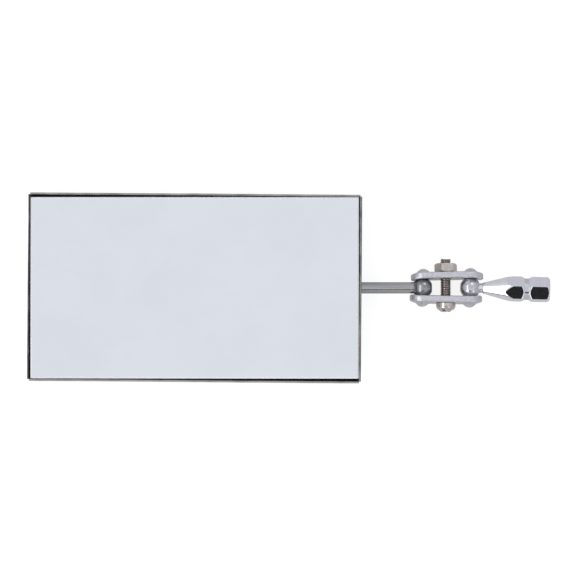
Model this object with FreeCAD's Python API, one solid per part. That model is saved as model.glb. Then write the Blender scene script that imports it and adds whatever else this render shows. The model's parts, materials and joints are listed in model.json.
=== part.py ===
import FreeCAD, Part
import math
import os

# Swivel head of an inspection mirror: a framed rectangular mirror on a ball stem, a two-plate
# ball clamp with one screw, and a hexagonal plug-in tail with a ball of its own.
#
# Row frame, millimetres: the head lies on its back with the glass facing +Z, +X runs from the
# mirror to the tail, and the origin is the bottom centre of the whole object's box.

# --- where the head lies -----------------------------------------------------------------
STEM_BALL_X = 37.005         # stem ball centre from the middle of the object
AXIS_HEIGHT = 3.855          # ball centres above the surface that the head lies on
CLAMP_ROLL = 5.5             # clamp turned about X, its nut side lower, degrees
CASE_SKEW = 0.45             # case turned clockwise under the glass, degrees
TAIL_SLOPE = 1.45            # tail turned clockwise in plan, degrees
TAIL_ROLL = 18.0             # hexagon turned about its own axis, degrees

# --- mirror ------------------------------------------------------------------------------
GLASS_LENGTH = 90.5
GLASS_WIDTH = 50.0
GLASS_THICK = 2.0
GLASS_SEAM = 0.45            # ground edge bevel
GLASS_X = -62.88             # glass and case centre from the stem ball
FOAM_THICK = 0.8
FOAM_MARGIN = 0.3            # foam stops this far inside the case walls
CASE_LENGTH = 92.0
CASE_WIDTH = 52.0
CASE_DEPTH = 3.4
SHEET = 0.5
BEND_OUTER = 0.8             # outside radius of the folded edges
LONG_WALL_SHORT = 0.5        # long walls stop this far short of the corners
SHORT_WALL_SHORT = 0.52      # short walls stop this far short of the corners

# --- stem and saddle ---------------------------------------------------------------------
STEM_DIAMETER = 3.175        # 1/8 in rod
STEM_END_X = -84.0           # rod end under the case
LAID_GAP = 0.02              # between parts that lie against each other
STRAP_THICK = 0.8
SADDLE_START_X = -85.0
SADDLE_LENGTH = 45.0
SADDLE_WIDTH = 24.0
SADDLE_CORNER = 2.0
RIVET_DIAMETER = 2.0
RIVET_HEAD_DIAMETER = 3.8
RIVET_HEAD_HEIGHT = 0.9
RIVET_FOOT_DIAMETER = 3.6
RIVET_FOOT_HEIGHT = 0.35
RIVET_INSET_X = 7.0
RIVET_Y = 8.0
FOAM_HOLE_DIAMETER = 4.4

# --- balls -------------------------------------------------------------------------------
STEM_BALL_DIAMETER = 5.55    # 7/32 in
TAIL_BALL_DIAMETER = 5.85
BALL_SPACING = 13.1
STEM_BALL_FLAT = 0.25        # far side turned off by this much
TAIL_BALL_FLAT = 0.15
TAIL_BALL_NECK_FACE = 2.38   # ball centre to the flat that the neck stands on
BALL_BORE_END = 0.8          # blind bore passes the ball centre by this much
FIT = 0.03                   # radial running clearance
END_PLAY = 0.05
COLLAR_START = 2.5           # stem collar: from here to the ball
COLLAR_END = 1.66
COLLAR_START_RADIUS = 1.72
COLLAR_END_RADIUS = 2.2

# --- clamp -------------------------------------------------------------------------------
PLATE_LENGTH = 20.0
PLATE_WIDTH = 7.0
PLATE_THICK = 1.85
PLATE_ROUND = 0.5
STEM_HALF_GAP = 2.28         # middle plane to a plate's inner face at the stem ball
TAIL_HALF_GAP = 2.50         # the same at the tail ball
NUT_PLATE_SLIP = 0.15        # each plate sits a little off centre along the clamp
HEAD_PLATE_SLIP = -0.18
DOME_RADIUS = 2.2
DOME_HEIGHT = 1.12
DOME_BLEND = 1.8
SEAT_CLEARANCE = 0.05
SCREW_X = 6.33               # screw axis from the stem ball
SCREW_HOLE_DIAMETER = 3.3
SEATING_LIFT = 0.06          # nut and head touch the sloping plates at one edge

# --- M3 screw and nut --------------------------------------------------------------------
THREAD_DIAMETER = 2.98
THREAD_ROOT_DIAMETER = 2.45
THREAD_PITCH = 0.5
SCREW_LENGTH = 12.3
HEAD_DIAMETER = 5.4
HEAD_HEIGHT = 2.4
HEAD_SIDE_HEIGHT = 0.9
HEAD_CROWN_RADIUS = 1.5
RECESS_TOP = 2.9
RECESS_TOP_SLOT = 0.8
RECESS_FLOOR = 1.1
RECESS_FLOOR_SLOT = 0.45
RECESS_DEPTH = 1.5
NUT_ACROSS_FLATS = 5.5
NUT_HEIGHT = 2.4
NUT_TURN = 9.0               # a nut face looks this far off the viewer, degrees

# --- tail --------------------------------------------------------------------------------
HEX_ACROSS_FLATS = 6.35      # 1/4 in
TAIL_LENGTH = 21.95          # ball centre to end face
SPIGOT_DIAMETER = 2.4
NECK_DIAMETER = 2.6
NECK_START = 2.41
CONE_START = 3.5
CONE_START_DIAMETER = 3.0
CONE_END = 11.7
GROOVE_FROM_END = 6.4
GROOVE_TOP = 2.95
GROOVE_FLOOR = 1.2
GROOVE_DIAMETER = 5.93
END_CHAMFER = 0.7

X_AXIS = FreeCAD.Vector(1, 0, 0)
Y_AXIS = FreeCAD.Vector(0, 1, 0)
Z_AXIS = FreeCAD.Vector(0, 0, 1)

STEM_RADIUS = STEM_DIAMETER / 2
CASE_BACK = STEM_RADIUS + LAID_GAP
FOAM_BOTTOM = CASE_BACK + SHEET
GLASS_BOTTOM = FOAM_BOTTOM + FOAM_THICK
FLANGE_TOP = CASE_BACK - LAID_GAP
CHANNEL_RADIUS = STEM_RADIUS + LAID_GAP
CHANNEL_OUTER = CHANNEL_RADIUS + STRAP_THICK
HEX_CORNER = HEX_ACROSS_FLATS / math.sqrt(3)


def degrees_to_drop(drop, reach):
    """The slope in degrees that lowers a point at this reach by this drop."""
    return math.degrees(math.asin(drop / reach))


# the strap's far end and the tail's end corner touch the surface together with the clamp
MIRROR_DIP = degrees_to_drop(AXIS_HEIGHT - CHANNEL_OUTER, -SADDLE_START_X)
TAIL_CORNER_DROP = HEX_CORNER * math.cos(math.radians(30 - TAIL_ROLL))
TAIL_DIP = degrees_to_drop(AXIS_HEIGHT - TAIL_CORNER_DROP, TAIL_LENGTH - END_CHAMFER)


def vector(x, y, z):
    return FreeCAD.Vector(x, y, z)


def turn(axis, angle):
    return FreeCAD.Rotation(axis, angle)


def placed(shape, rotation, x):
    """A shape made about a ball centre, turned about it and put at x in the row frame."""
    moved = shape.copy()
    place = FreeCAD.Placement(vector(x, 0, AXIS_HEIGHT), rotation)
    moved.Placement = place.multiply(shape.Placement)
    return moved


def on_mirror(shape):
    return placed(shape, turn(Y_AXIS, -MIRROR_DIP), STEM_BALL_X)


def on_clamp(shape):
    return placed(shape, turn(X_AXIS, -CLAMP_ROLL), STEM_BALL_X)


def on_tail(shape):
    rotation = turn(Y_AXIS, TAIL_DIP).multiply(turn(Z_AXIS, -TAIL_SLOPE))
    return placed(shape, rotation.multiply(turn(X_AXIS, TAIL_ROLL)), STEM_BALL_X + BALL_SPACING)


def centred_box(length, width, height, x, z):
    """A box centred on (x, 0) in plan with its underside at z."""
    return Part.makeBox(length, width, height, vector(x - length / 2, -width / 2, z))


def turned(points, axis):
    """A solid of revolution from a closed outline of points in the plane that holds the axis."""
    outline = Part.Wire(Part.makePolygon(points + [points[0]]).Edges)
    return Part.Face(outline).revolve(vector(0, 0, 0), axis, 360)


def hexagon(across_flats, length, axis_end):
    """A hexagonal prism along +X with one pair of flats facing +Z and -Z."""
    corner = across_flats / math.sqrt(3)
    points = []
    for step in range(7):
        angle = math.radians(30 + 60 * step)
        points.append(vector(axis_end, corner * math.sin(angle), corner * math.cos(angle)))
    return Part.Face(Part.makePolygon(points)).extrude(vector(length, 0, 0))


# --- mirror head: made about the stem ball centre, stem along -X -------------------------

def in_case(shape):
    """Turns a shape by the case's skew about the case's centre."""
    skewed = shape.copy()
    skewed.rotate(vector(GLASS_X, 0, 0), Z_AXIS, -CASE_SKEW)
    return skewed


def folded_wall(length):
    """One wall with its bend, at y = 0 outside, running along X and centred on it."""
    inner = BEND_OUTER - SHEET
    middle = math.sqrt(0.5)
    centre = vector(0, -BEND_OUTER, BEND_OUTER)

    def around(radius, across, down):
        return vector(0, centre.y + radius * across, centre.z - radius * down)

    outer_arc = Part.Arc(around(BEND_OUTER, 0, 1), around(BEND_OUTER, middle, middle),
                         around(BEND_OUTER, 1, 0))
    inner_arc = Part.Arc(around(inner, 1, 0), around(inner, middle, middle), around(inner, 0, 1))
    outer_top = vector(0, 0, CASE_DEPTH)
    inner_top = vector(0, -SHEET, CASE_DEPTH)
    edges = [
        outer_arc.toShape(),
        Part.makeLine(around(BEND_OUTER, 1, 0), outer_top),
        Part.makeLine(outer_top, inner_top),
        Part.makeLine(inner_top, around(inner, 1, 0)),
        inner_arc.toShape(),
        Part.makeLine(around(inner, 0, 1), around(BEND_OUTER, 0, 1)),
    ]
    wall = Part.Face(Part.Wire(edges)).extrude(vector(length, 0, 0))
    wall.translate(vector(-length / 2, 0, 0))
    return wall


def mirror_case():
    """A folded tray of thin sheet with open corners and four rivet holes."""
    back = centred_box(CASE_LENGTH - 2 * BEND_OUTER, CASE_WIDTH - 2 * BEND_OUTER, SHEET, 0, 0)
    long_wall = folded_wall(CASE_LENGTH - 2 * LONG_WALL_SHORT)
    long_wall.translate(vector(0, CASE_WIDTH / 2, 0))
    short_wall = folded_wall(CASE_WIDTH - 2 * SHORT_WALL_SHORT)
    short_wall.rotate(vector(0, 0, 0), Z_AXIS, 90)
    short_wall.translate(vector(-CASE_LENGTH / 2, 0, 0))
    walls = []
    for wall in (long_wall, short_wall):
        opposite = wall.copy()
        opposite.rotate(vector(0, 0, 0), Z_AXIS, 180)
        walls += [wall, opposite]
    tray = back.fuse(walls)
    tray.translate(vector(GLASS_X, 0, CASE_BACK))
    return in_case(tray.removeSplitter()).cut(rivet_holes(RIVET_DIAMETER, CASE_BACK))


def rivet_centres():
    xs = (SADDLE_START_X + RIVET_INSET_X, SADDLE_START_X + SADDLE_LENGTH - RIVET_INSET_X)
    return [(x, y) for x in xs for y in (-RIVET_Y, RIVET_Y)]


def rivet_holes(diameter, middle_z):
    """Four pegs that cut the rivet holes through a sheet near this height."""
    reach = 2.0
    holes = []
    for x, y in rivet_centres():
        holes.append(Part.makeCylinder(diameter / 2, 2 * reach, vector(x, y, middle_z - reach)))
    return Part.makeCompound(holes)


def foam_pad():
    """The black adhesive foam sheet between the case back and the glass."""
    inset = SHEET + FOAM_MARGIN
    pad = centred_box(CASE_LENGTH - 2 * inset, CASE_WIDTH - 2 * inset, FOAM_THICK, GLASS_X,
                      FOAM_BOTTOM)
    return in_case(pad).cut(rivet_holes(FOAM_HOLE_DIAMETER, FOAM_BOTTOM))


def mirror_glass():
    """The silvered glass plate with its edges ground all round."""
    glass = centred_box(GLASS_LENGTH, GLASS_WIDTH, GLASS_THICK, GLASS_X, GLASS_BOTTOM)
    rim = [edge for edge in glass.Edges if abs(edge.tangentAt(edge.FirstParameter).z) < 0.5]
    return glass.makeChamfer(GLASS_SEAM, rim)


def stem_rod():
    start = vector(STEM_END_X, 0, 0)
    length = BALL_BORE_END - END_PLAY - STEM_END_X
    rod = Part.makeCylinder(STEM_RADIUS, length, start, X_AXIS)
    return rod.makeChamfer(0.3, [rod.Edges[0], rod.Edges[2]])


def channel(radius, height):
    """A long bar with a half-round underside, as tall as the height above the stem axis."""
    bar = Part.makeCylinder(radius, SADDLE_LENGTH, vector(SADDLE_START_X, 0, 0), X_AXIS)
    middle_x = SADDLE_START_X + SADDLE_LENGTH / 2
    bar = bar.fuse(centred_box(SADDLE_LENGTH, 2 * radius, height, middle_x, 0))
    return bar.common(centred_box(SADDLE_LENGTH, 2 * radius, radius + height, middle_x, -radius))


def stem_saddle():
    """The pressed strap that holds the rod against the case back."""
    middle_x = SADDLE_START_X + SADDLE_LENGTH / 2
    flange_z = FLANGE_TOP - STRAP_THICK
    flange = centred_box(SADDLE_LENGTH, SADDLE_WIDTH, STRAP_THICK, middle_x, flange_z)
    uprights = [edge for edge in flange.Edges if abs(edge.tangentAt(edge.FirstParameter).z) > 0.5]
    flange = flange.makeFillet(SADDLE_CORNER, uprights)
    strap = flange.fuse(channel(CHANNEL_OUTER, FLANGE_TOP))
    strap = strap.cut(channel(CHANNEL_RADIUS, CASE_BACK + 1))
    return strap.cut(rivet_holes(RIVET_DIAMETER, flange_z)).removeSplitter()


def rivet(x, y):
    """A rivet with a domed head under the strap and a flat foot inside the case."""
    head_z = FLANGE_TOP - STRAP_THICK
    foot_z = CASE_BACK + SHEET
    radius = RIVET_HEAD_DIAMETER / 2
    dome_radius = (radius ** 2 + RIVET_HEAD_HEIGHT ** 2) / (2 * RIVET_HEAD_HEIGHT)
    dome = Part.makeSphere(dome_radius, vector(x, y, head_z - RIVET_HEAD_HEIGHT + dome_radius))
    below = Part.makeCylinder(radius + 1, RIVET_HEAD_HEIGHT + 1, vector(x, y, head_z), -Z_AXIS)
    shank = Part.makeCylinder(RIVET_DIAMETER / 2, foot_z - head_z, vector(x, y, head_z))
    foot = Part.makeCylinder(RIVET_FOOT_DIAMETER / 2, RIVET_FOOT_HEIGHT, vector(x, y, foot_z))
    return dome.common(below).fuse([shank, foot])


def saddle_rivets():
    return Part.makeCompound([rivet(x, y) for x, y in rivet_centres()])


# --- balls: each made about its own centre, its shank along +X ---------------------------

def bored_ball(diameter, flat, bore_diameter):
    """A ball with a turned flat on its far side and a blind bore for its shank."""
    radius = diameter / 2
    ball = Part.makeSphere(radius)
    ball = ball.cut(centred_box(2, diameter, diameter, -radius + flat - 1, -radius))
    start = vector(-BALL_BORE_END, 0, 0)
    bore = Part.makeCylinder(bore_diameter / 2, radius + BALL_BORE_END + 1, start, X_AXIS)
    return ball, bore


def stem_ball():
    ball, bore = bored_ball(STEM_BALL_DIAMETER, STEM_BALL_FLAT, STEM_DIAMETER + 2 * FIT)
    collar = Part.makeCone(COLLAR_END_RADIUS, COLLAR_START_RADIUS, COLLAR_START - COLLAR_END,
                           vector(COLLAR_END, 0, 0), X_AXIS)
    whole = ball.fuse(collar).cut(bore)
    whole.rotate(vector(0, 0, 0), Z_AXIS, 180)
    return whole


def tail_ball():
    ball, bore = bored_ball(TAIL_BALL_DIAMETER, TAIL_BALL_FLAT, SPIGOT_DIAMETER + 2 * FIT)
    beyond = centred_box(2, TAIL_BALL_DIAMETER, TAIL_BALL_DIAMETER, TAIL_BALL_NECK_FACE + 1,
                         -TAIL_BALL_DIAMETER / 2)
    return ball.cut([bore, beyond])


# --- clamp: made about the stem ball centre, balls along X, plates facing +Y and -Y ------

def half_gap(x):
    """From the middle plane to a plate's inner face, this far from the stem ball."""
    return STEM_HALF_GAP + (TAIL_HALF_GAP - STEM_HALF_GAP) * x / BALL_SPACING


def seating_y():
    """Where the nut and the screw head sit, each side of the middle plane."""
    return half_gap(SCREW_X) + PLATE_THICK + SEATING_LIFT


def dome():
    """A pressed dome about the Y axis on a face at y = 0, blended into it by a small arc."""
    centre_y = DOME_HEIGHT - DOME_RADIUS
    reach = DOME_RADIUS + DOME_BLEND
    blend_x = math.sqrt(reach ** 2 - (DOME_BLEND - centre_y) ** 2)
    meeting = math.atan2(blend_x, DOME_BLEND - centre_y)
    root = -PLATE_THICK / 2

    def on_dome(angle):
        return vector(DOME_RADIUS * math.sin(angle), centre_y + DOME_RADIUS * math.cos(angle), 0)

    def on_blend(angle):
        return vector(blend_x - DOME_BLEND * math.sin(angle),
                      DOME_BLEND - DOME_BLEND * math.cos(angle), 0)

    crown = Part.Arc(on_dome(0), on_dome(meeting / 2), on_dome(meeting)).toShape()
    foot = Part.Arc(on_blend(meeting), on_blend(meeting / 2), on_blend(0)).toShape()
    edges = [
        crown,
        foot,
        Part.makeLine(vector(blend_x, 0, 0), vector(blend_x, root, 0)),
        Part.makeLine(vector(blend_x, root, 0), vector(0, root, 0)),
        Part.makeLine(vector(0, root, 0), on_dome(0)),
    ]
    return Part.Face(Part.Wire(edges)).revolve(vector(0, 0, 0), Y_AXIS, 360)


def obround(length, width, thickness):
    """A round-ended plate on the y = 0 plane, with every outline edge rounded."""
    radius = width / 2
    span = length / 2 - radius
    slab = centred_box(2 * span, thickness, width, 0, -radius)
    slab.translate(vector(0, thickness / 2, 0))
    ends = [Part.makeCylinder(radius, thickness, vector(x, 0, 0), Y_AXIS) for x in (-span, span)]
    plate = slab.fuse(ends).removeSplitter()
    outline = [edge for edge in plate.Edges if abs(edge.CenterOfMass.y - thickness / 2) > 0.1]
    return plate.makeFillet(PLATE_ROUND, outline)


def seat_cutters():
    """The two ball seats and the screw hole, in the clamp's own frame."""
    stem_seat = Part.makeSphere(STEM_BALL_DIAMETER / 2 + SEAT_CLEARANCE)
    tail_seat = Part.makeSphere(TAIL_BALL_DIAMETER / 2 + SEAT_CLEARANCE, vector(BALL_SPACING, 0, 0))
    hole = Part.makeCylinder(SCREW_HOLE_DIAMETER / 2, 20, vector(SCREW_X, -10, 0), Y_AXIS)
    return [stem_seat, tail_seat, hole]


def clamp_plate(slip):
    """The plate on the +Y side: an obround with two domes, two seats and a screw hole."""
    plate = obround(PLATE_LENGTH, PLATE_WIDTH, PLATE_THICK)
    for x in (-BALL_SPACING / 2, BALL_SPACING / 2):
        bump = dome()
        bump.translate(vector(x, PLATE_THICK, 0))
        plate = plate.fuse(bump)
    slope = math.degrees(math.atan((TAIL_HALF_GAP - STEM_HALF_GAP) / BALL_SPACING))
    plate.rotate(vector(0, 0, 0), Z_AXIS, slope)
    middle = BALL_SPACING / 2
    plate.translate(vector(middle + slip, half_gap(middle), 0))
    return plate.cut(seat_cutters())


def nut_side_plate():
    return clamp_plate(NUT_PLATE_SLIP)


def head_side_plate():
    return clamp_plate(HEAD_PLATE_SLIP).mirror(vector(0, 0, 0), Y_AXIS)


def threaded_shank():
    """The shank about the Y axis from y = 0, with one ring groove for each pitch of thread."""
    crest = THREAD_DIAMETER / 2
    root = THREAD_ROOT_DIAMETER / 2
    points = [vector(0, 0, 0), vector(crest, 0, 0)]
    for turn_number in range(int(SCREW_LENGTH / THREAD_PITCH) - 1):
        start = (turn_number + 0.5) * THREAD_PITCH
        points.append(vector(crest, start, 0))
        points.append(vector(root, start + THREAD_PITCH / 2, 0))
    points.append(vector(crest, SCREW_LENGTH - THREAD_PITCH / 2, 0))
    points.append(vector(root, SCREW_LENGTH, 0))
    points.append(vector(0, SCREW_LENGTH, 0))
    return turned(points, Y_AXIS)


def pan_head():
    """The round-topped head below y = 0, with its cross recess."""
    radius = HEAD_DIAMETER / 2
    side = vector(radius, -HEAD_SIDE_HEIGHT, 0)
    crown = vector(HEAD_CROWN_RADIUS, -HEAD_HEIGHT, 0)
    shoulder = vector((radius + HEAD_CROWN_RADIUS) / 2 + 0.27,
                      -(HEAD_SIDE_HEIGHT + HEAD_HEIGHT) / 2 - 0.25, 0)
    edges = [
        Part.makeLine(vector(0, 0, 0), vector(radius, 0, 0)),
        Part.makeLine(vector(radius, 0, 0), side),
        Part.Arc(side, shoulder, crown).toShape(),
        Part.makeLine(crown, vector(0, -HEAD_HEIGHT, 0)),
        Part.makeLine(vector(0, -HEAD_HEIGHT, 0), vector(0, 0, 0)),
    ]
    head = Part.Face(Part.Wire(edges)).revolve(vector(0, 0, 0), Y_AXIS, 360)
    return head.cut([recess_slot(0), recess_slot(90)])


def rectangle(length, width, y):
    """A closed rectangle centred on the Y axis at this y."""
    corners = [(length, width), (-length, width), (-length, -width), (length, -width)]
    points = [vector(x / 2, y, z / 2) for x, z in corners]
    return Part.makePolygon(points + [points[0]])


def recess_slot(angle):
    """One tapered slot of the cross, turned about the screw axis."""
    mouth = rectangle(RECESS_TOP, RECESS_TOP_SLOT, -HEAD_HEIGHT)
    floor = rectangle(RECESS_FLOOR, RECESS_FLOOR_SLOT, -HEAD_HEIGHT + RECESS_DEPTH)
    slot = Part.makeLoft([mouth, floor], True)
    slot.rotate(vector(0, 0, 0), Y_AXIS, angle + 45)
    return slot


def clamp_screw():
    screw = threaded_shank().fuse(pan_head())
    screw.translate(vector(SCREW_X, -seating_y(), 0))
    return screw


def clamp_nut():
    """The hexagon nut, both faces chamfered, with a plain bore that clears the thread."""
    corner = NUT_ACROSS_FLATS / math.sqrt(3)
    face = NUT_ACROSS_FLATS / 2 - 0.1
    bevel = (corner - face) * math.tan(math.radians(30))
    nut = hexagon(NUT_ACROSS_FLATS, NUT_HEIGHT, 0)
    nut.rotate(vector(0, 0, 0), Z_AXIS, 90)
    envelope = turned([
        vector(0, 0, 0),
        vector(face, 0, 0),
        vector(corner, bevel, 0),
        vector(corner, NUT_HEIGHT - bevel, 0),
        vector(face, NUT_HEIGHT, 0),
        vector(0, NUT_HEIGHT, 0),
    ], Y_AXIS)
    bore_radius = THREAD_DIAMETER / 2 + FIT
    bore = Part.makeCylinder(bore_radius, NUT_HEIGHT + 2, vector(0, -1, 0), Y_AXIS)
    nut = nut.common(envelope).cut(bore)
    nut.rotate(vector(0, 0, 0), Y_AXIS, NUT_TURN)
    nut.translate(vector(SCREW_X, seating_y(), 0))
    return nut


# --- tail: made about its own ball centre, shank along +X --------------------------------

def tail_shank():
    """Spigot, neck and turned cone running into a grooved hexagon with a bevelled end."""
    groove_middle = TAIL_LENGTH - GROOVE_FROM_END
    full = HEX_CORNER + 0.01
    envelope = turned([
        vector(END_PLAY - BALL_BORE_END, 0, 0),
        vector(END_PLAY - BALL_BORE_END, SPIGOT_DIAMETER / 2, 0),
        vector(NECK_START, SPIGOT_DIAMETER / 2, 0),
        vector(NECK_START, NECK_DIAMETER / 2, 0),
        vector(CONE_START, NECK_DIAMETER / 2, 0),
        vector(CONE_START, CONE_START_DIAMETER / 2, 0),
        vector(CONE_END, full, 0),
        vector(groove_middle - GROOVE_TOP / 2, full, 0),
        vector(groove_middle - GROOVE_FLOOR / 2, GROOVE_DIAMETER / 2, 0),
        vector(groove_middle + GROOVE_FLOOR / 2, GROOVE_DIAMETER / 2, 0),
        vector(groove_middle + GROOVE_TOP / 2, full, 0),
        vector(TAIL_LENGTH - END_CHAMFER, full, 0),
        vector(TAIL_LENGTH, full - END_CHAMFER, 0),
        vector(TAIL_LENGTH, 0, 0),
    ], X_AXIS)
    bar = hexagon(HEX_ACROSS_FLATS, TAIL_LENGTH + BALL_BORE_END, -BALL_BORE_END)
    return bar.common(envelope)


NODES = {
    "mirror_case": on_mirror(mirror_case()),
    "foam_pad": on_mirror(foam_pad()),
    "mirror_glass": on_mirror(mirror_glass()),
    "stem_saddle": on_mirror(stem_saddle()),
    "saddle_rivets": on_mirror(saddle_rivets()),
    "stem_rod": on_mirror(stem_rod()),
    "stem_ball": on_mirror(stem_ball()),
    "head_side_plate": on_clamp(head_side_plate()),
    "nut_side_plate": on_clamp(nut_side_plate()),
    "clamp_screw": on_clamp(clamp_screw()),
    "clamp_nut": on_clamp(clamp_nut()),
    "tail_ball": on_tail(tail_ball()),
    "tail_shank": on_tail(tail_shank()),
}

os.makedirs("parts", exist_ok=True)
for name, shape in NODES.items():
    shape.exportStep(f"parts/{name}.step")
    box = shape.optimalBoundingBox(False)
    print(f"{name:16s} solids {len(shape.Solids)} valid {shape.isValid()} volume {shape.Volume:9.2f}"
          f" x {box.XMin:8.3f} {box.XMax:8.3f} y {box.YMin:8.3f} {box.YMax:8.3f}"
          f" z {box.ZMin:7.3f} {box.ZMax:7.3f}")
print(f"mirror dip {MIRROR_DIP:.4f} tail dip {TAIL_DIP:.4f} seating {seating_y():.4f}")
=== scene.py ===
"""Looks of a swivel inspection mirror head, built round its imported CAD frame."""

import json
import logging
import math
from dataclasses import dataclass, field
from enum import Enum

import bmesh
import bpy
import numpy as np
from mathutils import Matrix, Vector


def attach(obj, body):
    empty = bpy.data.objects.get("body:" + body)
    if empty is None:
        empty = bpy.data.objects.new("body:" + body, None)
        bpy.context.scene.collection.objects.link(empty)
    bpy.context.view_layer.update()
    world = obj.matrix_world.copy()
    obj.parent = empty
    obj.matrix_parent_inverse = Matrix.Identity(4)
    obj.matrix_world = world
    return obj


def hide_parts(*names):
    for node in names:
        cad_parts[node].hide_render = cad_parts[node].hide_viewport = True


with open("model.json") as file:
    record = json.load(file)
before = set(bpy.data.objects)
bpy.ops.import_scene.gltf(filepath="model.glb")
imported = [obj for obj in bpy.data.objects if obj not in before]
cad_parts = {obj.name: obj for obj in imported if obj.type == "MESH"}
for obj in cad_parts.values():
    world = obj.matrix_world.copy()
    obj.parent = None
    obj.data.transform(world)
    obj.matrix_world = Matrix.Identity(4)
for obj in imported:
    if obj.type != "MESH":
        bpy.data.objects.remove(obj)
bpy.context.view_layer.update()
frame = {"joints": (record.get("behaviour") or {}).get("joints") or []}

MM = 0.001
WELD = 1e-7
FULL_TURN = 2 * math.pi
TAIL_ROLL = 18.0
WAVE_RATIO = 1.7
SMALLEST = 1e-9
SOFT_EDGE_STEPS = 2
SOFT_EDGE_ANGLE = 50.0
MIX_FIRST, MIX_SECOND, MIX_RESULT = 6, 7, 2
Array = np.ndarray
Colour = tuple[float, float, float]
Span = tuple[float, float]
log = logging.getLogger("mirror_head")


# --- places --------------------------------------------------------------------------------

@dataclass(frozen=True)
class Axes:
    """A local set of right-handed axes in which a piece is made, in millimetres."""

    origin: Array
    columns: Array

    def to_object(self, points: Array) -> Array:
        """Points in the object's frame, in metres.

        Args:
            points: local points in millimetres, with x, y and z last.

        Returns:
            The same points carried to the object's frame.
        """
        return self.origin + (points * MM) @ self.columns.T


def joint(name: str) -> dict:
    """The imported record's joint of this name."""
    return next(j for j in frame["joints"] if j["name"] == name)


def unit(vector: Array) -> Array:
    """The vector scaled to a length of one."""
    return vector / np.linalg.norm(vector)


def axes_at(name: str, along: Array, hint: Array) -> Axes:
    """Axes at a joint, with x along a direction and z as near to the hint as it can be.

    Args:
        name: the joint whose place is the origin.
        along: the direction of local x.
        hint: the rough direction of local z.

    Returns:
        The right-handed axes.
    """
    x = unit(np.array(along, float))
    z = unit(hint - (hint @ x) * x)
    return Axes(np.array(joint(name)["pos_m"], float), np.column_stack([x, np.cross(z, x), z]))


def mirror_axes() -> Axes:
    """Axes at the stem ball, with the stem along -x and the glass facing +z."""
    return axes_at("stem_swing", -np.array(joint("stem_spin")["axis"]), np.array([0, 0, 1.0]))


def clamp_axes() -> Axes:
    """Axes at the stem ball, with the balls along x and the plates facing +y and -y.

    Returns:
        The clamp's axes.
    """
    across = np.array(joint("tail_swing")["axis"], float)
    reach = np.array(joint("tail_swing")["pos_m"]) - np.array(joint("stem_swing")["pos_m"])
    return axes_at("stem_swing", reach, np.cross(reach, across))


def tail_axes(roll: float) -> Axes:
    """Axes at the tail ball, with the tail along +x and one flat of the hexagon facing +z.

    Args:
        roll: how far that flat is turned about the tail, in degrees.

    Returns:
        The rolled axes.
    """
    flat = axes_at("tail_swing", joint("tail_spin")["axis"], np.array([0, 0, 1.0]))
    x, y, z = flat.columns.T
    turn = math.radians(roll)
    return Axes(flat.origin, np.column_stack([
        x,
        math.cos(turn) * y + math.sin(turn) * z,
        math.cos(turn) * z - math.sin(turn) * y,
    ]))


# --- shapes as whole arrays ----------------------------------------------------------------

def rounded(corners: list[tuple[float, float, float]], steps: int = 6) -> Array:
    """A line through corners, each replaced by the arc that touches both of its sides.

    An arc of radius r at a corner of angle a starts r / tan(a / 2) from the corner, and its
    points swing evenly from one touching point to the other about the arc's centre.

    Args:
        corners: (u, v, radius) for each corner; the radius of an end is not used.
        steps: how many pieces an arc has.

    Returns:
        The points of the line, two numbers each.
    """
    points = [np.array(corners[0][:2], float)[None]]
    for before, here, after in zip(corners, corners[1:], corners[2:]):
        corner, radius = np.array(here[:2], float), here[2]
        if radius <= 0:
            points.append(corner[None])
            continue
        back = unit(np.array(before[:2], float) - corner)
        ahead = unit(np.array(after[:2], float) - corner)
        half = math.acos(np.clip(back @ ahead, -1, 1)) / 2
        centre = corner + unit(back + ahead) * radius / math.sin(half)
        start = corner + back * radius / math.tan(half) - centre
        end = corner + ahead * radius / math.tan(half) - centre
        swing = math.pi - 2 * half
        share = np.linspace(0, 1, steps + 1)[:, None]
        blend = np.sin((1 - share) * swing) * start + np.sin(share * swing) * end
        points.append(centre + blend / math.sin(swing))
    points.append(np.array(corners[-1][:2], float)[None])
    return np.concatenate(points)


def refined(line: Array, spacing: float) -> Array:
    """The line with points added along it, its own corners kept.

    Args:
        line: points, two numbers each.
        spacing: the longest gap that is left.

    Returns:
        The longer list of points.
    """
    steps = np.linalg.norm(np.diff(line, axis=0), axis=1)
    length = np.concatenate([[0], np.cumsum(steps)])
    wanted = np.union1d(length, np.arange(0, length[-1], spacing))
    return np.stack([np.interp(wanted, length, line[:, k]) for k in (0, 1)], axis=1)


def around(count: int) -> Array:
    """Evenly spaced angles of one turn, in radians, without the last."""
    return np.linspace(0, FULL_TURN, count, endpoint=False)


def lathe(profile: Array, count: int) -> Array:
    """A surface of revolution about x.

    A profile point (x, r) at the angle t becomes (x, r sin t, r cos t).

    Args:
        profile: points (x, r) from one end of the axis to the other.
        count: points in each ring.

    Returns:
        A grid of points, rings first.
    """
    angle = around(count)
    x, radius = profile[:, :1], profile[:, 1:]
    return np.stack([x + 0 * angle, radius * np.sin(angle), radius * np.cos(angle)], axis=-1)


def wobble(position: Array, seed: int, longest: float, waves: int = 6) -> Array:
    """A smooth uneven value between about -1 and 1 along a position.

    It is the sum of a few sine waves with seeded phases, each shorter and weaker than the last.

    Args:
        position: where the value is wanted.
        seed: picks the phases.
        longest: the longest wave.
        waves: how many waves are added.

    Returns:
        The value at each position.
    """
    phases = np.random.default_rng(seed).uniform(0, FULL_TURN, waves)
    total = np.zeros_like(position, dtype=float)
    for number, phase in enumerate(phases):
        turns = position * FULL_TURN * WAVE_RATIO ** number / longest
        total += np.sin(turns + phase) / (number + 1) ** 0.5
    return total / waves ** 0.5


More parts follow.
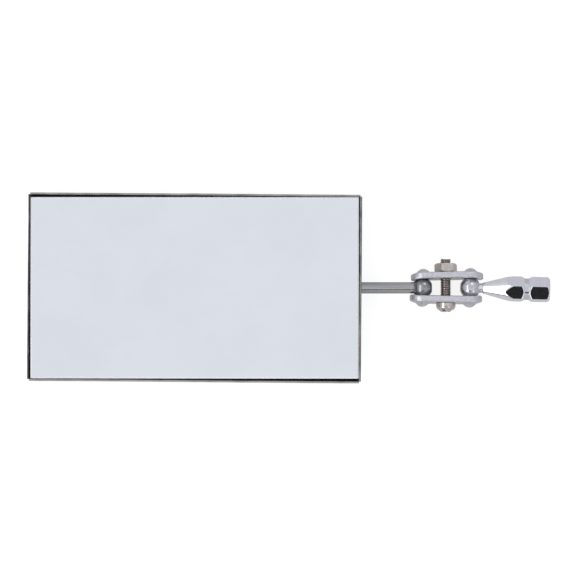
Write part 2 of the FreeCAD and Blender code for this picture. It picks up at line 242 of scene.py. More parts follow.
def smooth_step(value: Array) -> Array:
    """0 below 0, 1 above 1 and the curve 3 t squared - 2 t cubed between."""
    t = np.clip(value, 0, 1)
    return t * t * (3 - 2 * t)


def hexagon_reach(angle: Array, half_flats: float) -> Array:
    """Distance from a hexagon's middle to its side: half its flats over the cosine to the flat.

    Args:
        angle: the angle from the middle of one flat.
        half_flats: half the distance across flats.

    Returns:
        The distance at each angle.
    """
    sixth = math.pi / 3
    return half_flats / np.cos(angle - np.round(angle / sixth) * sixth)


def soft_least(values: list[Array], blend: float) -> Array:
    """The least of several values, rounded where two of them cross.

    It is -k log(sum of exp(-v / k)), where k is the blend.

    Args:
        values: the values to compare.
        blend: how far apart two values still round each other off.

    Returns:
        The rounded least value.
    """
    lowest = np.minimum.reduce(values)
    return lowest - blend * np.log(sum(np.exp((lowest - v) / blend) for v in values))


@dataclass
class Surface:
    """Patches of one piece, gathered as whole arrays and welded into one mesh."""

    points: list[Array] = field(default_factory=list)
    marks: list[Array] = field(default_factory=list)
    faces: list[Array] = field(default_factory=list)
    count: int = 0

    def add(self, grid: Array, mark: Array | float = 0.0, ring: bool = True,
            loop: bool = False) -> "Surface":
        """Adds a grid of four-sided faces.

        Args:
            grid: points by row and column.
            mark: a value at each point, which the finish reads.
            ring: whether the last column joins the first.
            loop: whether the last row joins the first.

        Returns:
            This surface.
        """
        rows, columns = grid.shape[:2]
        index = self.count + np.arange(rows * columns).reshape(rows, columns)
        if ring:
            index = np.concatenate([index, index[:, :1]], axis=1)
        if loop:
            index = np.concatenate([index, index[:1]], axis=0)
        quads = np.stack([index[:-1, :-1], index[:-1, 1:], index[1:, 1:], index[1:, :-1]], axis=-1)
        self.points.append(grid.reshape(-1, 3))
        self.marks.append(np.broadcast_to(mark, (rows, columns)).reshape(-1).astype(float))
        self.faces.append(quads.reshape(-1, 4))
        self.count += rows * columns
        return self

    def build(self, name: str, axes: Axes, sharp: float = 40.0) -> bpy.types.Object:
        """Welds the patches and makes the object, with its place in its mesh.

        Args:
            name: the piece's name.
            axes: the local axes of the points.
            sharp: edges that turn by more than this many degrees stay sharp.

        Returns:
            The new object, at the origin.
        """
        mesh = bpy.data.meshes.new(name)
        points = axes.to_object(np.concatenate(self.points))
        mesh.from_pydata(points.tolist(), [], np.concatenate(self.faces).tolist())
        mark = mesh.attributes.new("mark", "FLOAT", "POINT")
        mark.data.foreach_set("value", np.concatenate(self.marks).astype(np.float32))
        welded = bmesh.new()
        welded.from_mesh(mesh)
        bmesh.ops.remove_doubles(welded, verts=welded.verts, dist=WELD)
        bmesh.ops.recalc_face_normals(welded, faces=welded.faces)
        welded.to_mesh(mesh)
        welded.free()
        mesh.shade_smooth()
        mesh.set_sharp_from_angle(angle=math.radians(sharp))
        piece = bpy.data.objects.new(name, mesh)
        bpy.context.scene.collection.objects.link(piece)
        return piece


# --- finishes ------------------------------------------------------------------------------

class Lay(Enum):
    """Which way the fine lines of a metal run, as a stretch of the pattern along x, y and z."""

    NONE = (1.0, 1.0, 1.0)
    TURNED = (1.0, 0.05, 0.05)
    ALONG = (0.02, 1.0, 1.0)
    ROLLED = (0.03, 1.0, 0.4)


class Sheet:
    """A material's node tree, with short calls for the nodes that the finishes share."""

    def __init__(self, name: str) -> None:
        """Makes an empty material with one shader.

        Args:
            name: the material's name.
        """
        self.material = bpy.data.materials.new(name)
        self.material.use_nodes = True
        self.tree = self.material.node_tree
        self.tree.nodes.clear()
        self.shader = self.tree.nodes.new("ShaderNodeBsdfPrincipled")
        output = self.tree.nodes.new("ShaderNodeOutputMaterial")
        self.tree.links.new(self.shader.outputs[0], output.inputs[0])
        self.coordinates = self.tree.nodes.new("ShaderNodeTexCoord").outputs["Object"]

    def link(self, value: bpy.types.NodeSocket, name: str) -> None:
        """Feeds a value to the shader's input of this name."""
        self.tree.links.new(value, self.shader.inputs[name])

    def stretched(self, stretch: tuple[float, float, float]) -> bpy.types.NodeSocket:
        """Object coordinates scaled along each axis.

        Args:
            stretch: the scale along x, y and z.

        Returns:
            The scaled coordinates.
        """
        node = self.tree.nodes.new("ShaderNodeMapping")
        node.inputs["Scale"].default_value = stretch
        self.tree.links.new(self.coordinates, node.inputs["Vector"])
        return node.outputs[0]

    def noise(self, size: float, lay: Lay = Lay.NONE, detail: float = 3.0,
              roughness: float = 0.55) -> bpy.types.NodeSocket:
        """Uneven grey.

        Args:
            size: the size of its features, in millimetres.
            lay: which way they are drawn out.
            detail: how many finer layers are added.
            roughness: how strong the finer layers are.

        Returns:
            A value around one half.
        """
        node = self.tree.nodes.new("ShaderNodeTexNoise")
        node.inputs["Scale"].default_value = 1 / (size * MM)
        node.inputs["Detail"].default_value = detail
        node.inputs["Roughness"].default_value = roughness
        self.tree.links.new(self.stretched(lay.value), node.inputs["Vector"])
        return node.outputs["Fac"]

    def cells(self, size: float) -> bpy.types.NodeSocket:
        """Distance to the nearest of scattered points.

        Args:
            size: how far apart the points are, in millimetres.

        Returns:
            The distance, as a share of that size.
        """
        node = self.tree.nodes.new("ShaderNodeTexVoronoi")
        node.inputs["Scale"].default_value = 1 / (size * MM)
        self.tree.links.new(self.coordinates, node.inputs["Vector"])
        return node.outputs["Distance"]

    def mark(self) -> bpy.types.NodeSocket:
        """The value that the piece's mesh carries at each point.

        Returns:
            The value of its "mark" attribute.
        """
        node = self.tree.nodes.new("ShaderNodeAttribute")
        node.attribute_name = "mark"
        return node.outputs["Fac"]

    def span(self, value: bpy.types.NodeSocket, low: float, high: float, to_low: float = 0.0,
             to_high: float = 1.0) -> bpy.types.NodeSocket:
        """Carries one range to another in proportion, and holds the value inside it.

        Args:
            value: what is carried over.
            low: the value that becomes to_low.
            high: the value that becomes to_high.
            to_low: the start of the new range.
            to_high: the end of the new range.

        Returns:
            The new value.
        """
        node = self.tree.nodes.new("ShaderNodeMapRange")
        for name, number in (("From Min", low), ("From Max", high), ("To Min", to_low),
                             ("To Max", to_high)):
            node.inputs[name].default_value = number
        self.tree.links.new(value, node.inputs["Value"])
        return node.outputs[0]

    def math(self, operation: str, first: bpy.types.NodeSocket,
             second: bpy.types.NodeSocket | float) -> bpy.types.NodeSocket:
        """One sum or product of two values.

        Args:
            operation: the node's name for the sum or the product.
            first: one value.
            second: the other value, or a plain number.

        Returns:
            The result.
        """
        node = self.tree.nodes.new("ShaderNodeMath")
        node.operation = operation
        self.tree.links.new(first, node.inputs[0])
        if isinstance(second, bpy.types.NodeSocket):
            self.tree.links.new(second, node.inputs[1])
        else:
            node.inputs[1].default_value = second
        return node.outputs[0]

    def mix(self, share: bpy.types.NodeSocket, first: bpy.types.NodeSocket | Colour,
            second: Colour) -> bpy.types.NodeSocket:
        """A colour that goes from the first to the second with the share.

        Args:
            share: 0 for the first colour and 1 for the second.
            first: a colour, or the output of another node.
            second: a colour.

        Returns:
            The mixed colour.
        """
        node = self.tree.nodes.new("ShaderNodeMix")
        node.data_type = "RGBA"
        self.tree.links.new(share, node.inputs["Factor"])
        for number, colour in ((MIX_FIRST, first), (MIX_SECOND, second)):
            socket = node.inputs[number]
            if isinstance(colour, bpy.types.NodeSocket):
                self.tree.links.new(colour, socket)
            else:
                socket.default_value = (*colour, 1.0)
        return node.outputs[MIX_RESULT]

    def bump(self, height: bpy.types.NodeSocket, depth: float,
             after: bpy.types.NodeSocket | None = None) -> bpy.types.NodeSocket:
        """A bumped normal.

        Args:
            height: the height, from 0 to 1.
            depth: how deep the full height is, in millimetres.
            after: an earlier normal that this one is laid on.

        Returns:
            The new normal.
        """
        node = self.tree.nodes.new("ShaderNodeBump")
        node.inputs["Strength"].default_value = 1.0
        node.inputs["Distance"].default_value = depth * MM
        self.tree.links.new(height, node.inputs["Height"])
        if after is not None:
            self.tree.links.new(after, node.inputs["Normal"])
        return node.outputs[0]


@dataclass(frozen=True)
class Silvering:
    """Back-silvered glass: a clear reflection, faint wiping marks, a ground light edge and sides
    painted dark as shade.
    """

    tint: Colour = (0.905, 0.915, 0.93)
    cloudy: Colour = (0.88, 0.89, 0.905)
    ground: Colour = (0.97, 0.98, 0.99)
    # painted shade: the glass's upright sides are painted near black for the shade in the gap round
    # the glass
    side: Colour = (0.01, 0.016, 0.014)
    ground_roughness: float = 0.45
    cloud_size: float = 14.0
    cloud_span: Span = (0.35, 0.65)
    smear_size: float = 5.0
    smear_span: Span = (0.5, 0.8)
    smear_roughness: Span = (0.008, 0.03)
    grinding_size: float = 0.15
    grinding_depth: float = 0.03

    def material(self) -> bpy.types.Material:
        """Builds the material; the mark is 1 on the ground bevel and 2 on the sides, painted near
        black as shade.

        Returns:
            The material.
        """
        sheet = Sheet("silvered_glass")
        ground = sheet.span(sheet.mark(), 0, 1)
        side = sheet.span(sheet.mark(), 1, 2)
        clouds = sheet.span(sheet.noise(self.cloud_size, detail=4), *self.cloud_span)
        colour = sheet.mix(clouds, self.tint, self.cloudy)
        edge = sheet.mix(ground, colour, self.ground)
        # painted shade: near black on the upright sides
        sheet.link(sheet.mix(side, edge, self.side), "Base Color")
        smears = sheet.span(sheet.noise(self.smear_size, Lay.ROLLED, detail=5), *self.smear_span,
                            *self.smear_roughness)
        matt = sheet.math("MULTIPLY", ground, self.ground_roughness)
        sheet.link(sheet.math("ADD", smears, matt), "Roughness")
        sheet.link(sheet.span(ground, 0, 1, 1, 0), "Metallic")
        grinding = sheet.math("MULTIPLY", sheet.noise(self.grinding_size), ground)
        sheet.link(sheet.bump(grinding, self.grinding_depth), "Normal")
        return sheet.material


@dataclass(frozen=True)
class BlackFoam:
    """Closed-cell adhesive foam: near black, matt and pitted."""

    dark: Colour = (0.006, 0.006, 0.007)
    light: Colour = (0.02, 0.02, 0.022)
    cell_size: float = 0.25
    cell_span: Span = (0.1, 0.6)
    cell_depth: float = 0.08
    roughness: float = 0.95
    specular: float = 0.2

    def material(self) -> bpy.types.Material:
        """Builds the material.

        Returns:
            The material.
        """
        sheet = Sheet("black_foam")
        cells = sheet.cells(self.cell_size)
        wall = sheet.span(cells, *self.cell_span)
        sheet.link(sheet.mix(wall, self.dark, self.light), "Base Color")
        sheet.shader.inputs["Roughness"].default_value = self.roughness
        sheet.shader.inputs["Specular IOR Level"].default_value = self.specular
        sheet.link(sheet.bump(cells, self.cell_depth), "Normal")
        return sheet.material


@dataclass(frozen=True)
class Metal:
    """A bare or plated metal with grain, scratches, and a second colour for pits and painted shade.
    """

    name: str
    colour: Colour
    shade: Colour
    # the colour of pits among the specks, and of painted shade where the mesh's mark is set
    painted_shade_and_pits: Colour
    roughness: float
    marked_roughness: float
    grain: float
    grain_depth: float
    lay: Lay = Lay.NONE
    dent: float = 1.2
    dent_depth: float = 0.0
    specks: float = 0.0
    grain_span: Span = (0.3, 0.7)
    grain_swing: Span = (0.8, 1.25)
    patch_span: Span = (0.35, 0.7)
    speck_size: float = 2.2
    speck_span: Span = (0.72, 0.8)
    speck_share: float = 0.6

    def material(self) -> bpy.types.Material:
        """Builds the material; the mark is painted shade, 1 in hollows and on the case's top edges.

        Returns:
            The material.
        """
        sheet = Sheet(self.name)
        mark = sheet.mark()
        grain = sheet.noise(self.grain, self.lay)
        patches = sheet.noise(self.dent, self.lay, detail=4)
        colour = sheet.mix(sheet.span(patches, *self.patch_span), self.colour, self.shade)
        if self.specks > 0:
            scattered = sheet.noise(self.grain * self.speck_size, detail=2)
            start, full = self.speck_span
            pits = sheet.span(scattered, start - self.specks, full, 0, self.speck_share)
            colour = sheet.mix(pits, colour, self.painted_shade_and_pits)
        # painted shade: the mark darkens hollows, grooves, creases and the case's top edges
        sheet.link(sheet.mix(mark, colour, self.painted_shade_and_pits), "Base Color")
        sheet.shader.inputs["Metallic"].default_value = 1.0
        least, most = (self.roughness * share for share in self.grain_swing)
        uneven = sheet.span(grain, *self.grain_span, least, most)
        extra = sheet.math("MULTIPLY", mark, self.marked_roughness - self.roughness)
        sheet.link(sheet.math("ADD", uneven, extra), "Roughness")
        normal = sheet.bump(grain, self.grain_depth)
        if self.dent_depth > 0:
            normal = sheet.bump(patches, self.dent_depth, normal)
        sheet.link(normal, "Normal")
        return sheet.material


CASE_STEEL = Metal(
    "case_steel", colour=(0.42, 0.405, 0.39), shade=(0.33, 0.315, 0.3),
    painted_shade_and_pits=(0.06, 0.058, 0.056), roughness=0.38, marked_roughness=0.5, grain=0.3,
    grain_depth=0.004, lay=Lay.ROLLED, dent=6.0,
)
STRAP_STEEL = Metal(
    "strap_steel", colour=(0.5, 0.5, 0.5), shade=(0.42, 0.42, 0.43), painted_shade_and_pits=(0.3, 0.29, 0.28),
    roughness=0.42, marked_roughness=0.5, grain=0.35, grain_depth=0.006, lay=Lay.ROLLED,
    dent=4.0, dent_depth=0.02,
)
RIVET_ALUMINIUM = Metal(
    "rivet_aluminium", colour=(0.78, 0.78, 0.79), shade=(0.68, 0.68, 0.7),
    painted_shade_and_pits=(0.4, 0.4, 0.4), roughness=0.35, marked_roughness=0.5, grain=0.15, grain_depth=0.006,
    lay=Lay.NONE, dent=1.0, dent_depth=0.02,
)
STEM_STEEL = Metal(
    "stem_steel", colour=(0.5, 0.49, 0.48), shade=(0.35, 0.345, 0.335),
    painted_shade_and_pits=(0.12, 0.12, 0.12), roughness=0.17, marked_roughness=0.4, grain=0.16,
    grain_depth=0.006, lay=Lay.ALONG, dent=0.5,
)
BALL_STEEL = Metal(
    "ball_steel", colour=(0.42, 0.425, 0.43), shade=(0.25, 0.255, 0.26),
    painted_shade_and_pits=(0.06, 0.06, 0.06), roughness=0.22, marked_roughness=0.4, grain=0.35,
    grain_depth=0.02, lay=Lay.NONE, dent=1.1, dent_depth=0.05, specks=0.06,
)
ZINC_PLATE = Metal(
    "zinc_plate", colour=(0.7, 0.69, 0.71), shade=(0.54, 0.535, 0.56), painted_shade_and_pits=(0.4, 0.41, 0.45),
    roughness=0.36, marked_roughness=0.5, grain=0.3, grain_depth=0.035, lay=Lay.NONE, dent=0.7,
    dent_depth=0.06, specks=0.03,
)
NICKEL_FASTENER = Metal(
    "nickel_fastener", colour=(0.68, 0.62, 0.58), shade=(0.53, 0.475, 0.435),
    painted_shade_and_pits=(0.17, 0.135, 0.115), roughness=0.14, marked_roughness=0.35, grain=0.3,
    grain_depth=0.01, lay=Lay.NONE, dent=1.0, dent_depth=0.03,
)
TAIL_CHROME = Metal(
    "tail_chrome", colour=(0.88, 0.88, 0.9), shade=(0.8, 0.8, 0.825), painted_shade_and_pits=(0.6, 0.6, 0.63),
    roughness=0.07, marked_roughness=0.12, grain=0.35, grain_depth=0.007, lay=Lay.TURNED,
    dent=2.0, dent_depth=0.004,
)
BALL_CHROME = Metal(
    "ball_chrome", colour=(0.7, 0.695, 0.715), shade=(0.5, 0.495, 0.515),
    painted_shade_and_pits=(0.2, 0.2, 0.21), roughness=0.15, marked_roughness=0.3, grain=0.5, grain_depth=0.02,
    lay=Lay.NONE, dent=1.1, dent_depth=0.05, specks=0.06,
)


# --- sub-assemblies ------------------------------------------------------------------------

def dress(piece: bpy.types.Object, body: str, slot: str, material: bpy.types.Material,
          *nodes: str) -> None:
    """Gives a piece its finish and its body, hides the nodes it stands for, and reports it.

    Args:
        piece: the finished object.
        body: the CAD body that it rides on.
        slot: the record's material slot; not used.
        material: its finish.
        *nodes: the CAD nodes that it replaces.
    """
    piece.data.materials.append(material)
    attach(piece, body)
    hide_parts(*nodes)
    log.info("%s: %d faces on %s", piece.name, len(piece.data.polygons), body)


def give_thickness(piece: bpy.types.Object, thickness: float, offset: float, edge: float) -> None:
    """Gives a skin its sheet thickness and takes the sharpness off its edges.

    Args:
        piece: the skin.
        thickness: the sheet's thickness, in millimetres.
        offset: -1 to thicken inwards, 0 to both sides.
        edge: the bevel of the edges, in millimetres.
    """
    solid = piece.modifiers.new("sheet", "SOLIDIFY")
    solid.thickness = thickness * MM
    solid.offset = offset
    solid.use_even_offset = True
    soft = piece.modifiers.new("edges", "BEVEL")
    soft.width = edge * MM
    soft.segments = SOFT_EDGE_STEPS
    soft.limit_method = "ANGLE"
    soft.angle_limit = math.radians(SOFT_EDGE_ANGLE)


def rectangle_ring(half_x: float, half_y: float, corner: float, z: float, steps: int = 6) -> Array:
    """A closed rounded rectangle at one height: four quarter arcs joined by straight sides.

    Args:
        half_x: half the length.
        half_y: half the width.
        corner: the radius of the arcs.
        z: the height.
        steps: how many pieces an arc has.

    Returns:
        The points of the ring.
    """
    quarter = np.linspace(0, math.pi / 2, steps + 1)
    rings = []
    for number, (sx, sy) in enumerate(((1, 1), (-1, 1), (-1, -1), (1, -1))):
        angle = quarter + number * math.pi / 2
        rings.append(np.stack([
            sx * (half_x - corner) + corner * np.cos(angle),
            sy * (half_y - corner) + corner * np.sin(angle),
            np.full_like(angle, z),
        ], axis=1))
    return np.concatenate(rings)


def turned_in_plan(points: Array, centre_x: float, degrees: float) -> Array:
    """Points turned about a vertical line through (centre_x, 0).

    Args:
        points: the points, with x, y and z last.
        centre_x: where the line stands.
        degrees: the angle, anticlockwise.

    Returns:
        The turned points.
    """
    angle = math.radians(degrees)
    x, y = points[..., 0] - centre_x, points[..., 1]
    return np.stack([
        centre_x + x * math.cos(angle) - y * math.sin(angle),
        x * math.sin(angle) + y * math.cos(angle),
        points[..., 2],
    ], axis=-1)


@dataclass
class MirrorTray:
    """The folded case with its foam sheet and its glass."""

    axes: Axes
    centre_x: float = -62.88
    back_z: float = 1.6075
    glass: tuple[float, float, float] = (90.5, 50.0, 2.0)
    seam: float = 0.45
    glass_corner: float = 0.25
    seam_fade: float = 0.04
    side_fade: float = 0.03
    foam_thick: float = 0.8
    foam_gap: float = 0.3
    foam_corner: float = 0.6
    foam_edge: float = 0.12
    case: tuple[float, float, float] = (92.0, 52.0, 3.4)
    sheet: float = 0.5
    bend: float = 0.8
    long_wall_short: float = 0.5
    short_wall_short: float = 0.52
    skew: float = -0.45
    wave: float = 0.045
    wave_length: float = 70.0
    burr: float = 0.03
    burr_length: float = 9.0
    soft_edge: float = 0.05
    # painted shade and dark reflection on each wall's top edge, set side by side
    long_rim_shades: Span = (0.16, 0.0)
    short_rim_shades: Span = (0.5, 1.0)
    rim_shade_swing: float = 0.25
    rim_shade_length: float = 12.0
    long_seed: int = 11
    short_seed: int = 21
    rim_shade_seed: int = 41

    def plate_rings(self, length: float, width: float, thick: float, bevel: float, z: float,
                    corner: float) -> Array:
        """Rings of a flat plate with bevelled edges, from its lower middle to its upper middle.

        Args:
            length: the plate's length.
            width: its width.
            thick: its thickness.
            bevel: the width of the bevel.
            z: the height of its underside.
            corner: the radius of its corners in plan.

        Returns:
            A grid of points, ring by ring.
        """
        half_x, half_y = length / 2, width / 2
        levels = ((bevel, 0), (0, bevel), (0, thick - bevel), (bevel, thick))
        rings = [rectangle_ring(half_x - inset, half_y - inset, corner, z + height)
                 for inset, height in levels]
        first, last = (rings[k] * np.array([0, 0, 1]) for k in (0, -1))
        grid = np.stack([first, *rings, last])
        grid[..., 0] += self.centre_x
        return grid

    def glass_plate(self) -> bpy.types.Object:
        """The glass: flat faces, a ground bevel marked 1 and upright sides marked 2 for painted
        shade.

        Returns:
            The glass.
        """
        length, width, thick = self.glass
        z = self.back_z + self.sheet + self.foam_thick
        grid = self.plate_rings(length, width, thick, self.seam, z, self.glass_corner)
        under, seam_low, side_low, side_high, seam_high, top = grid
        shrink = np.array([1 - self.seam_fade / length, 1 - self.seam_fade / width, 1])
        middle = np.array([self.centre_x, 0, 0])
        clear = middle + (seam_high - middle) * shrink
        step = np.array([0, 0, self.side_fade])
        grid = np.stack([under, seam_low, side_low, side_low + step, side_high - step, side_high,
                         seam_high, clear, top])
        # mark 2 gives the upright sides their painted shade
        mark = np.array([0, 1, 1, 2, 2, 1, 1, 0, 0], float)[:, None]
        return Surface().add(grid, mark).build("glass_plate", self.axes, sharp=20)

    def foam_sheet(self) -> bpy.types.Object:
        """The foam: a thin soft sheet with rounded edges, laid with the case's skew.

        Returns:
            The foam.
        """
        inset = 2 * (self.sheet + self.foam_gap)
        grid = self.plate_rings(self.case[0] - inset, self.case[1] - inset, self.foam_thick,
                                self.foam_edge, self.back_z + self.sheet, self.foam_corner)
        grid = turned_in_plan(grid, self.centre_x, self.skew)
        return Surface().add(grid).build("foam_sheet", self.axes)

    def flap(self, along: Array, end: float, half_width: float, seed: int) -> Array:
        """One wall with its bend, as the outer skin of the sheet.

        A quarter arc of the bend radius leads from the back into the upright wall, and the wall
        lengthens with the sine of the arc; it bows by a slow wave that grows with height, and its
        top edge wanders.

        Args:
            along: positions along the fold.
            end: where the upright wall ends.
            half_width: from the middle of the case to the wall's outside.
            seed: picks the wave.

        Returns:
            A grid of points (along, outward, up), by height and then along.
        """
        depth = self.case[2]
        angle = np.linspace(0, math.pi / 2, 7)
        out = half_width - self.bend + self.bend * np.sin(angle)
        up = self.bend * (1 - np.cos(angle))
        rise = np.array([0.2, 0.45, 0.7, 0.9, 0.985, 1.0])
        out = np.concatenate([out, np.full(rise.size, half_width)])
        up = np.concatenate([up, self.bend + rise * (depth - self.bend)])
        reach = np.concatenate([np.sin(angle), np.ones(rise.size)]) * (end - along[-1]) + along[-1]
        fold = np.tile(along, (up.size, 1))
        line = np.concatenate([-reach[:, None], fold, reach[:, None]], axis=1)
        share = np.clip((up - self.bend) / (depth - self.bend), 0, 1)[:, None]
        bow = self.wave * (wobble(line, seed, self.wave_length) - 1)
        top = self.burr * (wobble(line, seed + 1, self.burr_length) - 1)
        return np.stack([
            line,
            out[:, None] + share * bow,
            up[:, None] + share ** 4 * top,
        ], axis=-1)

    def folded_case(self) -> bpy.types.Object:
        """The tray: its back and four walls as one skin, given its thickness inwards.

        Returns:
            The case.
        """
        half_x, half_y = self.case[0] / 2, self.case[1] / 2
        x = np.linspace(self.bend - half_x, half_x - self.bend, num=61)
        y = np.linspace(self.bend - half_y, half_y - self.bend, num=35)
        back = np.stack([*np.meshgrid(x, y), np.zeros((y.size, x.size))], axis=-1)
        surface = Surface().add(back, ring=False)
        for side, long_rim_shade, short_rim_shade in zip((1, -1), self.long_rim_shades, self.short_rim_shades):
            grid = self.flap(x, half_x - self.long_wall_short, half_y, self.long_seed + side)
            surface.add(grid * np.array([1, side, 1]), self.rim_painted_shade(grid, long_rim_shade), ring=False)
            grid = self.flap(y, half_y - self.short_wall_short, half_x, self.short_seed + side)
            grid = grid[..., [1, 0, 2]]
            grid[..., 0] *= side
            surface.add(grid, self.rim_painted_shade(grid, short_rim_shade), ring=False)
        surface.points = [self.laid(points) for points in surface.points]
        piece = surface.build("folded_case", self.axes, sharp=30)
        self.face_outwards(piece)
        give_thickness(piece, self.sheet, -1, self.soft_edge)
        return piece

    def rim_painted_shade(self, grid: Array, tone: float) -> Array:
        """Painted shade and dark reflection on the top edge of a wall, with some uneven places.

        Args:
            grid: the wall's points.
            tone: how dark the edge is painted, 0 for bright and 1 for dark.

        Returns:
            The mark at each point.
        """
        mark = np.zeros(grid.shape[:2])
        line = grid[-1, :, 0] + grid[-1, :, 1]
        uneven = self.rim_shade_swing * wobble(line, self.rim_shade_seed, self.rim_shade_length)
        # painted shade: the wall's top two rows are darkened
        mark[-2:] = np.clip(tone + uneven, 0, 1)
        return mark

    def laid(self, points: Array) -> Array:
        """Case points moved to the case's place, with its skew."""
        moved = points + np.array([self.centre_x, 0, self.back_z])
        return turned_in_plan(moved, self.centre_x, self.skew)

    def face_outwards(self, piece: bpy.types.Object) -> None:
        """Turns the skin so that its back faces down.

        Args:
            piece: the skin.
        """
        mesh = piece.data
        largest = max(mesh.polygons, key=lambda face: face.area)
        if largest.normal.z > 0:
            mesh.flip_normals()

    def build(self) -> None:
        """Makes and dresses the glass, the foam and the case."""
        dress(self.glass_plate(), "mirror_head", "silvered_glass", Silvering().material(),
              "mirror_glass")
        foam = self.foam_sheet()
        dress(foam, "mirror_head", "black_foam", BlackFoam().material(), "foam_pad")
        dress(self.folded_case(), "mirror_head", "case_steel", CASE_STEEL.material(), "mirror_case")


@dataclass
class BallStem:
    """The rod with its ball, and the strap and rivets that hold it to the case."""

    axes: Axes
    radius: float = 1.5875
    end_x: float = -84.0
    ball_radius: float = 2.775
    ball_flat: float = 0.25
    flat_edge: float = 0.12
    collar: tuple[float, float, float, float] = (-2.5, 1.72, -1.66, 2.2)
    collar_round: float = 0.3
    collar_step: float = 0.1
    collar_overlap: float = 0.4
    # painted shade: a thin dark line where the collar meets the sphere
    collar_shade_line: float = 0.6
    collar_shade_width: float = 0.2
    rod_clearance: float = 0.02
    rod_end_round: float = 0.3
    strap_start: float = -85.0
    strap_length: float = 45.0
    strap_half_width: float = 12.0
    strap_thick: float = 0.8
    strap_corner: float = 2.0
    strap_bend: float = 0.55
    strap_edge: float = 0.12
    flange_top: float = 1.5875
    rivet_inset: float = 7.0
    rivet_y: float = 8.0
    rivet_radius: float = 1.9
    rivet_height: float = 0.9
    rivet_edge: float = 0.12
    rivet_sink: float = 0.3
    rivet_tuck: tuple[float, float] = (0.03, 0.05)

    def rod(self) -> bpy.types.Object:
        """The drawn rod: a lathe shape from its rounded end to inside the ball.

        Returns:
            The rod.
        """
        inner_end = self.collar[0] + self.collar_overlap
        profile = rounded([
            (self.end_x, 0, 0),
            (self.end_x, self.radius, self.rod_end_round),
            (inner_end, self.radius, 0),
            (inner_end, 0, 0),
        ])
        profile = refined(profile, spacing=1.0)
        return Surface().add(lathe(profile, count=96)).build("stem", self.axes)

    def ball(self) -> bpy.types.Object:
        """The turned ball: a sphere with a flat far side and a flared collar at the rod, with
        painted shade at their seam.

        Returns:
            The ball.
        """
        past_collar = 2.3
        angle = np.linspace(math.acos(1 - self.ball_flat / self.ball_radius), past_collar, num=60)
        sphere = np.stack([self.ball_radius * np.cos(angle), self.ball_radius * np.sin(angle)], 1)
        start, start_radius, end, end_radius = self.collar
        sphere = sphere[sphere[:, 0] > end]
        face_x = self.ball_radius - self.ball_flat
        mouth = start - self.collar_step / 2
        tail = rounded([
            (end, end_radius, 0),
            (start + self.collar_step, start_radius, self.collar_round),
            (mouth, self.radius + self.rod_clearance, 0),
            (mouth, 0, 0),
        ])
        face = [[face_x, 0], [face_x, sphere[0, 1] - self.flat_edge]]
        profile = np.concatenate([face, sphere, tail])
        # painted shade along the seam of the collar and the sphere
        from_rim = np.abs(profile[:, :1] - end) / self.collar_shade_width
        mark = self.collar_shade_line * smooth_step(1 - from_rim)
        surface = Surface().add(lathe(profile, count=128), mark)
        return surface.build("stem_ball_turned", self.axes, sharp=50)

    def strap_line(self) -> Array:
        """The strap's middle line across the stem, from the axis outwards to the flange.

        A half round about the rod, a short upright, a quarter bend and the flat flange.

        Returns:
            Points (across, up) of one half.
        """
        middle = self.radius + self.rod_clearance + self.strap_thick / 2
        flange = self.flange_top - self.strap_thick / 2
        angle = np.linspace(0, math.pi / 2, num=13)
        half_round = np.stack([middle * np.sin(angle), -middle * np.cos(angle)], axis=1)
        rest = rounded([
            (middle, 0, 0),
            (middle, flange, self.strap_bend),
            (self.strap_half_width - self.strap_corner, flange, 0),
        ])
        return np.concatenate([half_round, rest[1:]])

    def strap(self) -> bpy.types.Object:
        """The pressed strap: its middle line carried along the rod.

        Within a corner's radius of an end, the flange's edge follows a quarter circle.

        Returns:
            The strap.
        """
        line = self.strap_line()
        reach = np.linspace(0, math.pi / 2, num=9)
        ends = self.strap_corner * (1 - np.cos(reach))
        middle = np.linspace(self.strap_corner, self.strap_length - self.strap_corner, num=30)[1:-1]
        x = np.concatenate([ends, middle, self.strap_length - ends[::-1]])
        near_end = np.minimum(x, self.strap_length - x)
        drop = np.clip(self.strap_corner - near_end, 0, None)
        bulge = np.sqrt(self.strap_corner ** 2 - drop ** 2)
        outer = self.strap_half_width - self.strap_corner + bulge
        share = np.linspace(0, 1, num=12)[1:]
        y = np.broadcast_to(line[:, 0], (x.size, len(line)))
        flange = line[-1, 0] + share * (outer[:, None] - line[-1, 0])
        y = np.concatenate([y, flange], axis=1)
        z = np.concatenate([line[:, 1], np.full(share.size, line[-1, 1])])
        half = np.stack([
            np.broadcast_to((self.strap_start + x)[:, None], y.shape),
            y,
            np.broadcast_to(z, y.shape),
        ], axis=-1)
        surface = Surface().add(half, ring=False).add(half * np.array([1, -1, 1]), ring=False)
        piece = surface.build("pressed_strap", self.axes, sharp=60)
        give_thickness(piece, self.strap_thick, 0, self.strap_edge)
        return piece

    def rivets(self) -> bpy.types.Object:
        """Four rivet heads under the strap: each is a cap of a sphere on a short upright edge.

        Returns:
            The rivets, as one object.
        """
        flange = self.flange_top - self.strap_thick
        height, radius = self.rivet_height, self.rivet_radius
        sphere = (radius ** 2 + height ** 2) / (2 * height)
        angle = np.linspace(0, math.asin((radius - self.rivet_edge) / sphere), num=16)
        dome = np.stack([height - sphere * (1 - np.cos(angle)), sphere * np.sin(angle)], axis=1)
        foot, root = (radius - tuck for tuck in self.rivet_tuck)
        edge = [[self.rivet_edge, radius], [0.0, foot],
                [-self.rivet_sink, root], [-self.rivet_sink, 0.0]]
        profile = np.concatenate([dome, edge])
        head = lathe(profile, count=48)[..., [2, 1, 0]] * np.array([1, 1, -1])
        surface = Surface()
        for x in (self.strap_start + self.rivet_inset,
                  self.strap_start + self.strap_length - self.rivet_inset):
            for y in (-self.rivet_y, self.rivet_y):
                surface.add(head + np.array([x, y, flange]))
        return surface.build("strap_rivets", self.axes)

